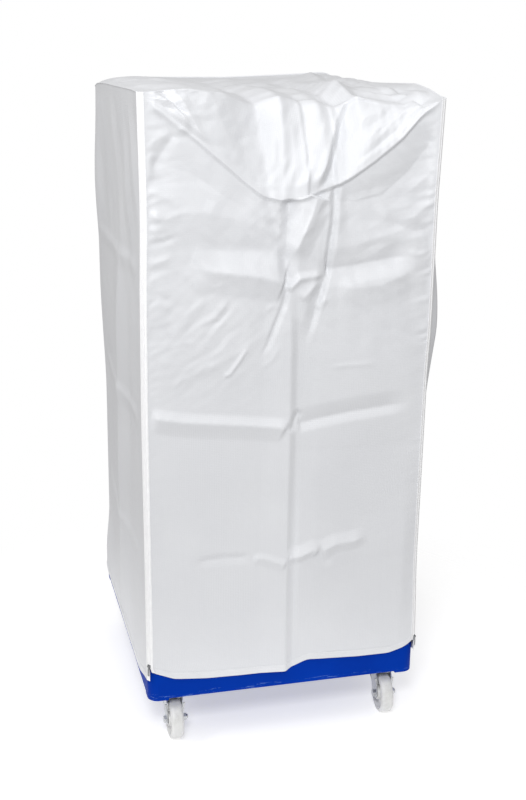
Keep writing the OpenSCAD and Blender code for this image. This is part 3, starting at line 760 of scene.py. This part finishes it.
def side_x(side, y, z):
    """How far out a side panel hangs."""
    front_x = front_half_width(side, np.maximum(z, SLIDER_Z)) + ZIP_BAND * math.cos(ZIP_TURN)
    near = smooth((y - FRONT_Y - 0.012) / 0.1)
    flat = front_x * (1 - near) + (HALF_W - 0.001) * near - rear_draw(side, z) * smooth((y - 0.1) / 0.25)
    slack = 0
    if side > 0:
        bulge = 0.014 * spot(y, z, (0.03, 1.07), (0.2, 0.17)) + 0.006 * spot(y, z, (-0.1, 0.45), (0.2, 0.25))
        bulge += crease(y, z, [(0.0, 0.2), (0.01, 1.62)], 0.006, 0.09, 0.09, (0.02, 0.1))
        slack = 0.023 * spot(y, z, (-0.375, 1.09), (0.1, 0.17)) * smooth((y - SIDE_Y) / 0.02)
    else:
        ridge = [(-0.02, 0.2), (-0.045, 0.95), (-0.1, 1.35), (-0.12, 1.5)]
        bulge = crease(y, z, ridge, 0.014, 0.13, 0.18, (0.02, 0.35))
        bulge += 0.014 * spot(y, z, (0.34, 1.42), (0.07, 0.14))
    for height in FOLD_MARKS:
        mark = [(-0.36, height + 0.004), (0.0, height), (0.36, height + 0.006)]
        bulge += crease(y, z, mark, 0.004, 0.022, 0.04)
    away = smooth((HALF_D - np.abs(y)) / 0.05) * smooth((TOP - 0.01 - z) / 0.06)
    relief = 0.0024 * lumps(y, z, 0.12, 31 + side) + 0.0007 * facets(y, z, 0.05, 35 + side, 2.0, 1.0)
    relief += 0.0024 * smooth((z - 1.0) / 0.5) * facets(y, z, 0.07, 37 + side, 2.5, 1.4)
    turned = (BACK_ROUND - 0.001) * smooth((y - HALF_D + 0.02) / 0.016)
    relief = np.where(z < 0.3, relief * (0.3 + 0.7 * smooth((z - 0.2) / 0.1)), relief)
    return side * (flat + (bulge + relief) * away + slack - turned)


def back_y(x, z):
    """How far back the back panel hangs."""
    relief = crease(x, z, [(0.0, 0.2), (0.004, 0.9), (0.0, 1.62)], 0.006, 0.035, 0.035, (0.02, 0.1))
    for height in FOLD_MARKS:
        mark = [(-0.34, height + 0.008), (0.0, height), (0.34, height + 0.01)]
        relief += crease(x, z, mark, 0.0055, 0.026, 0.042, (0.06, 0.06))
    relief += 0.004 * lumps(x, z, 0.16, 53) + 0.0016 * facets(x, z, 0.05, 55, 2.0, 0.5)
    away = smooth((HALF_W - np.abs(x)) / 0.05) * smooth((TOP - 0.01 - z) / 0.06)
    turned = (BACK_ROUND - 0.001) * smooth((np.abs(x) - HALF_W + 0.02) / 0.016)
    return HALF_D - 0.001 + relief * away - turned


# The sides' lower edges, from front to back
side_hem = curve_through([
    (-0.42, 0.19), (-0.385, 0.186), (-0.34, 0.172), (-0.28, 0.152), (-0.2, 0.147), (0.1, 0.149),
    (0.3, 0.152), (0.42, 0.158)], 0.02)


def side_hem_line(side, y):
    """The height of a side panel's lower edge."""
    return side_hem(y) + 0.002 * lumps(y, y * 0, 0.15, 41 + side) * smooth((y + 0.39) / 0.08)


def back_hem_line(x):
    """The height of the back panel's lower edge."""
    return SIDE_HEM_Z + 0.013 + 0.004 * lumps(x, x * 0, 0.2, 51)


def side_sheet(side, name):
    """A side panel from its zip round to the back corner, and from the roof's edge to its hem."""
    y = np.linspace(SIDE_Y, HALF_D - BACK_ROUND, 121)
    t = np.linspace(0, 1, 190)
    low = side_hem_line(side, y)
    y, z = np.broadcast_arrays(y, low + (side_edge(side, y) - low) * t[:, None])
    points = stack(side_x(side, y, z), y, z)
    return grid_piece(name, points, stack(y, z), flip=side < 0)


def back_sheet():
    """The back panel: plain cloth with the creases that folding left."""
    x = np.linspace(-1, 1, 121) * (HALF_W - BACK_ROUND)
    t = np.linspace(0, 1, 190)
    low = back_hem_line(x)
    x, z = np.broadcast_arrays(x, low + (back_edge(x) - low) * t[:, None])
    points = stack(x, back_y(x, z), z)
    for side in (-1, 1):
        points[..., 0] -= side * rear_draw(side, z) * smooth((side * x - 0.1) / 0.25)
    return grid_piece("cover_back_cloth", points, stack(x, z), flip=True)


def roof_front(u):
    """The roof's front edge: over the zips at both ends, and along the leaning front's top between them."""
    inner = 0.025
    point = lean_point(np.clip((u - inner) / (1 - 2 * inner), 0, 1), np.ones_like(u))
    share = np.clip(1 - np.minimum(u, 1 - u) / inner, 0, 1)
    for side, there in ((-1, u < inner), (1, u > 1 - inner)):
        height = side_edge(side, SIDE_Y)
        x, y = zip_corner(side, height, share)
        ease = smooth(share)
        point[there, 0] = x[there]
        point[there, 1] = y[there]
        point[there, 2] = (point[:, 2] * (1 - ease) + height * ease)[there]
    return point


def roof_side(side, v):
    """A side edge of the roof, from front to back."""
    y = SIDE_Y + (HALF_D - BACK_ROUND - SIDE_Y) * v
    z = side_edge(side, y)
    return stack(side_x(side, y, z), y, z)


def roof_back(u):
    """The back edge of the roof, from left to right."""
    x = (u * 2 - 1) * (HALF_W - BACK_ROUND)
    z = back_edge(x)
    return stack(x, back_y(x, z), z)


def roof_sheet():
    """The roof: a patch between its four edges, dipping where nothing holds it."""
    u = np.linspace(0, 1, 181)
    v = np.linspace(0, 1, 130)
    front, back = roof_front(u), roof_back(u)
    left, right = roof_side(-1, v), roof_side(1, v)
    left[0], left[-1] = front[0], back[0]
    right[0], right[-1] = front[-1], back[-1]
    a, b = u[None, :, None], v[:, None, None]
    patch = (1 - b) * front[None] + b * back[None] + (1 - a) * left[:, None] + a * right[:, None]
    patch = patch - ((1 - a) * (1 - b) * front[0] + a * (1 - b) * front[-1] + (1 - a) * b * back[0]
                     + a * b * back[-1])
    x, y = patch[..., 0], patch[..., 1]
    open_span = smooth((0.33 - np.abs(x)) / 0.16) * np.sin(math.pi * v[:, None]) ** 0.8
    dip = open_span * (-0.01 + 0.006 * lumps(x, y, 0.1, 61, 2.2, 0.1))
    dip += crease(x, y, [(0.15, -0.3), (0.2, 0.0), (0.26, 0.38)], 0.012, 0.09, 0.034, (0, 0.1))
    dip += crease(x, y, [(0.34, -0.36), (0.28, -0.28), (0.17, -0.2)], 0.006, 0.036, 0.036, (0.1, 0.3))
    dip += crease(x, y, [(0.34, -0.3), (0.25, -0.22), (0.2, -0.14)], -0.005, 0.026, 0.036, (0.1, 0.3))
    dip += crease(x, y, [(-0.34, 0.0), (0.0, 0.01), (0.34, 0.0)], 0.006, 0.036, 0.036)
    dip += 0.005 * facets(x, y, 0.075, 63, 1.6, 0.3) + 0.0018 * facets(x, y, 0.025, 65, 2.0, 0.9)
    edge = smooth(np.minimum(v, 1 - v) / 0.06)[:, None] * smooth(np.minimum(u, 1 - u) / 0.06)[None, :]
    patch[..., 2] += dip * edge
    patch[1:, :, 2] = np.maximum(patch[..., 2], over_rails(x, y))[1:]
    return grid_piece("cover_roof_cloth", patch, stack(x, y))


# ---- seams, hems and stitches

def box_run(name, centres, along, across, size):
    """Many small pointed bars as one mesh, from their centres and their unit directions along and across."""
    long, wide, high = size
    corners = []
    for a, b, c in [(-0.5, 0, 0), (-0.3, -0.5, 0), (-0.3, 0, 0.5), (-0.3, 0.5, 0), (-0.3, 0, -0.5),
                    (0.3, -0.5, 0), (0.3, 0, 0.5), (0.3, 0.5, 0), (0.3, 0, -0.5), (0.5, 0, 0)]:
        corners.append((a * long, b * wide, c * high))
    faces = [(0, 2, 1), (0, 3, 2), (0, 4, 3), (0, 1, 4), (1, 2, 6, 5), (2, 3, 7, 6), (3, 4, 8, 7),
             (4, 1, 5, 8), (9, 5, 6), (9, 6, 7), (9, 7, 8), (9, 8, 5)]
    normal = np.cross(along, across)
    points, polygons = [], []
    for i, centre in enumerate(centres):
        for a, b, c in corners:
            points.append(centre + along[i] * a + across[i] * b + normal[i] * c)
        polygons += [tuple(k + i * len(corners) for k in face) for face in faces]
    return link_mesh(name, np.array(points), polygons)


def stitches(name, line, across, pitch=0.0045):
    """A row of stitches along a line of points, lying across the given direction at each of them."""
    line = np.asarray(line, float)
    steps = np.linalg.norm(np.diff(line, axis=0), axis=1)
    start = np.concatenate([[0], np.cumsum(steps)])
    places = np.arange(pitch / 2, start[-1], pitch)
    centres = np.stack([np.interp(places, start, line[:, k]) for k in range(3)], axis=-1)
    ahead = np.stack([np.interp(places + 0.001, start, line[:, k]) for k in range(3)], axis=-1)
    along = ahead - centres
    keep = np.linalg.norm(along, axis=1) > 1e-6
    centres, along = centres[keep], along[keep]
    along = along / np.linalg.norm(along, axis=1)[:, None]
    side = np.repeat(np.array(across, float)[None, :], len(centres), axis=0)
    side = side - (side * along).sum(axis=1)[:, None] * along
    side = side / np.linalg.norm(side, axis=1)[:, None]
    return box_run(name, centres, along, side, (pitch * 0.72, 0.0009, 0.0008))


def hem_layer(name, stitch_name, points, cloth_uv, axis, outward, swell=0.0006, flip=False):
    """A turned-up hem, a second layer just proud of its panel along that axis, and its stitches."""
    t = np.linspace(0, 1, len(points))[:, None]
    points[..., axis] += outward * (0.0007 + swell * np.sin(math.pi * t))
    band = grid_piece(name, points, cloth_uv, HEM_T, flip)
    row = points[-2].copy()
    row[:, axis] += outward * 0.0006
    return band, stitches(stitch_name, row, (0, 0, 1))


def flap_hem():
    """The hem of the front."""
    u = np.linspace(0.006, 0.994, COLUMNS + 1)
    up = HEM_WIDTH * np.linspace(0, 1, 8)[:, None]
    points = front_point(*np.broadcast_arrays(u, follow_hem((u - 0.5) * 2 * ZIP_X, HEM_Z + up)))
    cloth_uv = stack(u * 2 * ZIP_X, up)
    return hem_layer("flap_hem_cloth", "flap_hem_stitches", points, cloth_uv, 1, -1, 0.0007)


def side_panel_hem(side, name):
    """The hem of a side panel."""
    y = np.linspace(SIDE_Y + 0.004, HALF_D - 0.01, 110)
    y, z = np.broadcast_arrays(y, side_hem_line(side, y) + HEM_WIDTH * np.linspace(0, 1, 6)[:, None])
    points = stack(side_x(side, y, z), y, z)
    return hem_layer(name, name + "_stitches", points, stack(y, z), 0, side, flip=side < 0)


def back_hem():
    """The hem of the back panel."""
    x = np.linspace(-1, 1, 110) * (HALF_W - 0.01)
    x, z = np.broadcast_arrays(x, back_hem_line(x) + HEM_WIDTH * np.linspace(0, 1, 6)[:, None])
    points = stack(x, back_y(x, z), z)
    name = "back_hem_cloth"
    return hem_layer(name, name + "_stitches", points, stack(x, z), 1, 1, flip=True)


def ring_mesh(name, rings):
    """A closed tube from rings of points."""
    count, sides = rings.shape[:2]
    index = np.arange(count * sides).reshape(count, sides)
    turned = np.roll(index, -1, axis=1)
    quads = np.stack([index[:-1], turned[:-1], turned[1:], index[1:]], axis=-1).reshape(-1, 4).tolist()
    quads += [index[0].tolist()[::-1], index[-1].tolist()]
    return link_mesh(name, rings.reshape(-1, 3), quads)


def cord_tube(name, line, radius, sides=8):
    """A thin closed tube along a line of points, for piped seams."""
    line = np.asarray(line, float)
    ahead = np.gradient(line, axis=0)
    ahead = ahead / np.linalg.norm(ahead, axis=1)[:, None]
    up = np.repeat(np.array([[0.3, 0.2, 0.93]]), len(line), axis=0)
    right = np.cross(ahead, up)
    right = right / np.linalg.norm(right, axis=1)[:, None]
    up = np.cross(right, ahead)
    angles = np.linspace(0, 2 * math.pi, sides, endpoint=False)
    rings = line[:, None] + radius * (np.cos(angles)[None, :, None] * right[:, None]
                                      + np.sin(angles)[None, :, None] * up[:, None])
    return ring_mesh(name, rings)


# ---- zips

def tape_strip(name, side, low, high, shares, on_flap):
    """A stretch of zip tape on the front corner, across those shares of the band's width."""
    rows = max(3, int((high - low) / 0.006))
    share, z = np.broadcast_arrays(np.linspace(*shares, 6), np.linspace(low, high, rows)[:, None])
    x, y = zip_corner(side, z, share, on_flap)
    points = stack(x, y - 0.0008, z)
    return grid_piece(name, points, stack(share * ZIP_BAND, z), 0.0008, flip=side < 0)


def zip_coil(name, side, low, high, share, on_flap):
    """One half of the zip's coil: a fine ridged bead along the edge of its tape."""
    pitch = 0.0024
    z = np.arange(low, high, pitch / 4)
    x, y = zip_corner(side, z, np.full_like(z, share), on_flap)
    line = stack(x, y - 0.0014, z)
    radius = 0.001 + 0.00025 * np.cos(2 * math.pi * z / pitch)
    ring = np.linspace(0, 2 * math.pi, 6, endpoint=False)
    rings = line[:, None] + radius[:, None, None] * stack(np.cos(ring), np.sin(ring), 0)
    return ring_mesh(name, rings)


def tape_stitches(name, side, low, high, share, on_flap):
    """A row of stitches up a tape."""
    z = np.linspace(low, high, 120)
    x, y = zip_corner(side, z, np.full_like(z, share), on_flap)
    return stitches(name, stack(x, y - 0.0016, z), (1, 0, 0))


# Across the band from the front panel: the tape's two edges, the middle of its coil, and its stitches
ON_FLAP = (-0.06, 0.45), 0.46, 0.08
ON_SIDE = (0.55, 1.06), 0.54, 0.92


def zip_pieces(label, part, side, low, high, layout):
    """One stretch of one half of a zip: its tape, its stitches and, above the slider, its coil."""
    shares, coil_share, stitch_share = layout
    on_flap = layout is ON_FLAP
    closed_from = SLIDER_Z + 0.002
    tape = tape_strip(f"{label}_{part}_tape_cloth", side, low, high, shares, on_flap)
    coil = zip_coil(f"{label}_{part}_coil", side, max(low, closed_from), high, coil_share, on_flap)
    thread = tape_stitches(f"{label}_{part}_stitches", side, low + 0.004, high, stitch_share, on_flap)
    for piece, material in ((tape, TAPE), (coil, TAPE), (thread, THREAD)):
        finish_piece(piece, material, None)
    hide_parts(f"{label}_{part}_tape")
    return tape, coil, thread


def build_zip(side, label):
    """One zip: the tape on the side panel, and the tape on the flap in three stretches."""
    top = float(side_edge(side, SIDE_Y))
    side_low = float(side_hem(SIDE_Y)) + 0.001
    flap_low = float(hem_line(side * ZIP_X)) + 0.002
    for piece in zip_pieces(label, "side", side, side_low, top, ON_SIDE):
        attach(piece, "cover")
    for piece in zip_pieces(label, "head", side, HEAD_LOW_Z, top, ON_FLAP):
        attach(piece, "cover")
    for piece in zip_pieces(label, "upper", side, UPPER_MID_Z, HEAD_LOW_Z, ON_FLAP):
        bend_with_flap(piece, "upper")
    for piece in zip_pieces(label, "lower", side, flap_low, UPPER_MID_Z, ON_FLAP):
        bend_with_flap(piece, "lower")


def bend_with_flap(piece, part):
    """Bakes the stretch's place into its mesh; the upper and the lower stretch are treated alike."""
    if part == "upper":
        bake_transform(piece)
    else:
        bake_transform(piece)


# ---- the whole cover

def add_sheet(sheet, body, stands_for):
    """A sheet of the cover with its cloth, on that body, in place of the piece of CAD it stands for, which is
    hidden.
    """
    finish_piece(sheet, COVER, body)
    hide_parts(stands_for)


def add_hem(layers, body):
    """A hem and its stitches, on that body."""
    hem, hem_stitches = layers
    finish_piece(hem, HEM, body)
    finish_piece(hem_stitches, THREAD, body)
    return hem


def build_cover():
    """Every sheet of the cover with its hem, its zips and its seams."""
    add_sheet(cover_head(), "cover", "cover_head")
    upper = front_sheet("flap_upper_cloth", UPPER_MID_Z, HEAD_LOW_Z, 0.004)
    add_sheet(upper, None, "front_flap_upper")
    bend_with_flap(upper, "upper")
    lower = front_sheet("flap_lower_cloth", HEM_Z, UPPER_MID_Z, 0.0045, hem=True)
    hem = add_hem(flap_hem(), "flap_lower")
    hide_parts("flap_hem")
    add_sheet(lower, None, "front_flap_lower")
    bend_with_flap(lower, "lower")
    add_sheet(roof_sheet(), "cover", "cover_roof")

    for side, label in ((-1, "left"), (1, "right")):
        sheet = side_sheet(side, f"cover_{label}_cloth")
        hem = add_hem(side_panel_hem(side, f"{label}_hem_cloth"), "cover")
        add_sheet(sheet, "cover", f"cover_{label}_side")
        build_zip(side, label)

    back = back_sheet()
    hem = add_hem(back_hem(), "cover")
    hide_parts("cover_hem")
    add_sheet(back, "cover", "cover_back")
    build_seams()


def build_seams():
    """The sewn edges of the roof, as thin piped lines."""
    along = np.linspace(0, 1, 200)
    edges = {"back": roof_back(along), "left": roof_side(-1, along), "right": roof_side(1, along)}
    for name, line in edges.items():
        finish_piece(cord_tube(f"roof_seam_{name}", line, 0.0014), HEM, "cover")


# ---- camera, light and floor

def place_camera():
    """The photograph's view: from the left front, a little above the roof, and slightly rolled."""
    yaw, pitch, roll = (math.radians(a) for a in (14.777, 16.243, 0.809))
    ahead = Vector((math.sin(yaw) * math.cos(pitch), math.cos(yaw) * math.cos(pitch), -math.sin(pitch)))
    level = Vector((math.cos(yaw), -math.sin(yaw), 0))
    above = level.cross(ahead)
    right = math.cos(roll) * level + math.sin(roll) * above
    up = -math.sin(roll) * level + math.cos(roll) * above
    data = bpy.data.cameras.new("camera")
    data.lens = 53.4
    data.sensor_width = 36
    camera = link_object("camera", data)
    rotation = Matrix((right, up, -ahead)).transposed()
    camera.matrix_world = Matrix.Translation((-0.781, -3.102, 1.732)) @ rotation.to_4x4()
    bpy.context.scene.camera = camera


def soft_light(name, place, target, size, power, colour=(1, 1, 1)):
    """A square soft box of that size in metres, turned to the target."""
    data = bpy.data.lights.new(name, "AREA")
    data.energy = power
    data.size = size
    data.color = colour
    light = link_object(name, data)
    light.location = place
    light.rotation_euler = (Vector(target) - Vector(place)).to_track_quat("-Z", "Y").to_euler()


def soft_sun(name, towards, strength, spread):
    """Even light from one side of the room, whose shadows are soft by that many degrees."""
    data = bpy.data.lights.new(name, "SUN")
    data.energy = strength
    data.angle = math.radians(spread)
    link_object(name, data).rotation_euler = (-Vector(towards)).to_track_quat("-Z", "Y").to_euler()


def build_world():
    """White to the camera, and a dimmer, slightly warm light on everything else."""
    world = bpy.data.worlds.new("studio")
    bpy.context.scene.world = world
    world.use_nodes = True
    tree = world.node_tree
    seen = tree.nodes["Background"]
    seen.inputs["Color"].default_value = (1, 1, 1, 1)
    seen.inputs["Strength"].default_value = 1.0
    lit = tree.nodes.new("ShaderNodeBackground")
    lit.inputs["Color"].default_value = (1, 0.985, 0.975, 1)
    lit.inputs["Strength"].default_value = 0.4
    rays = tree.nodes.new("ShaderNodeLightPath")
    mix = tree.nodes.new("ShaderNodeMixShader")
    tree.links.new(rays.outputs["Is Camera Ray"], mix.inputs["Fac"])
    tree.links.new(lit.outputs[0], mix.inputs[1])
    tree.links.new(seen.outputs[0], mix.inputs[2])
    tree.links.new(mix.outputs[0], tree.nodes["World Output"].inputs["Surface"])


def build_floor():
    """A white disc that catches the soft shadows and fades out towards its rim."""
    reach, sides = 1.2, 96
    turn = np.arange(sides) * 2 * math.pi / sides
    rim = stack(reach * np.cos(turn), reach * np.sin(turn), 0)
    floor = link_mesh("studio_floor", rim, [tuple(range(sides))])
    n = Nodes("studio_floor_white")
    grain = n.noise(n.coordinates("Object"), 3.0, 2.0)
    n.colour(grain, [(0.3, (0.69, 0.69, 0.69)), (0.7, (0.71, 0.71, 0.71))])
    n.set(Roughness=0.9, Specular_IOR_Level=0.1, Emission_Color=(1, 1, 1, 1), Emission_Strength=0.5)
    fade = n.add("ShaderNodeTexGradient", gradient_type="SPHERICAL")
    n.link(n.coordinates("Object", (1 / reach, 1 / reach, 1)), fade.inputs["Vector"])
    n.link(n.ramp(fade.outputs["Fac"], [(0.02, 0.0), (0.45, 1.0)]), n.shader.inputs["Alpha"])
    floor.data.materials.append(n.material)


def build_studio():
    """The surroundings, three lights and the floor."""
    build_world()
    soft_light("key", (-1.1, -3.3, 3.0), (0, -0.3, 1.1), 0.9, 77, (0.975, 0.985, 1))
    soft_light("fill", (-3.2, -0.8, 3.0), (-0.3, 0, 1.5), 1.2, 30)
    soft_sun("top", (0.3, -0.6, 4.0), 0.66, 70)
    build_floor()


bpy.context.scene.view_settings.view_transform = "Standard"
place_camera()
build_studio()
finish_cad_nodes()
build_cover()
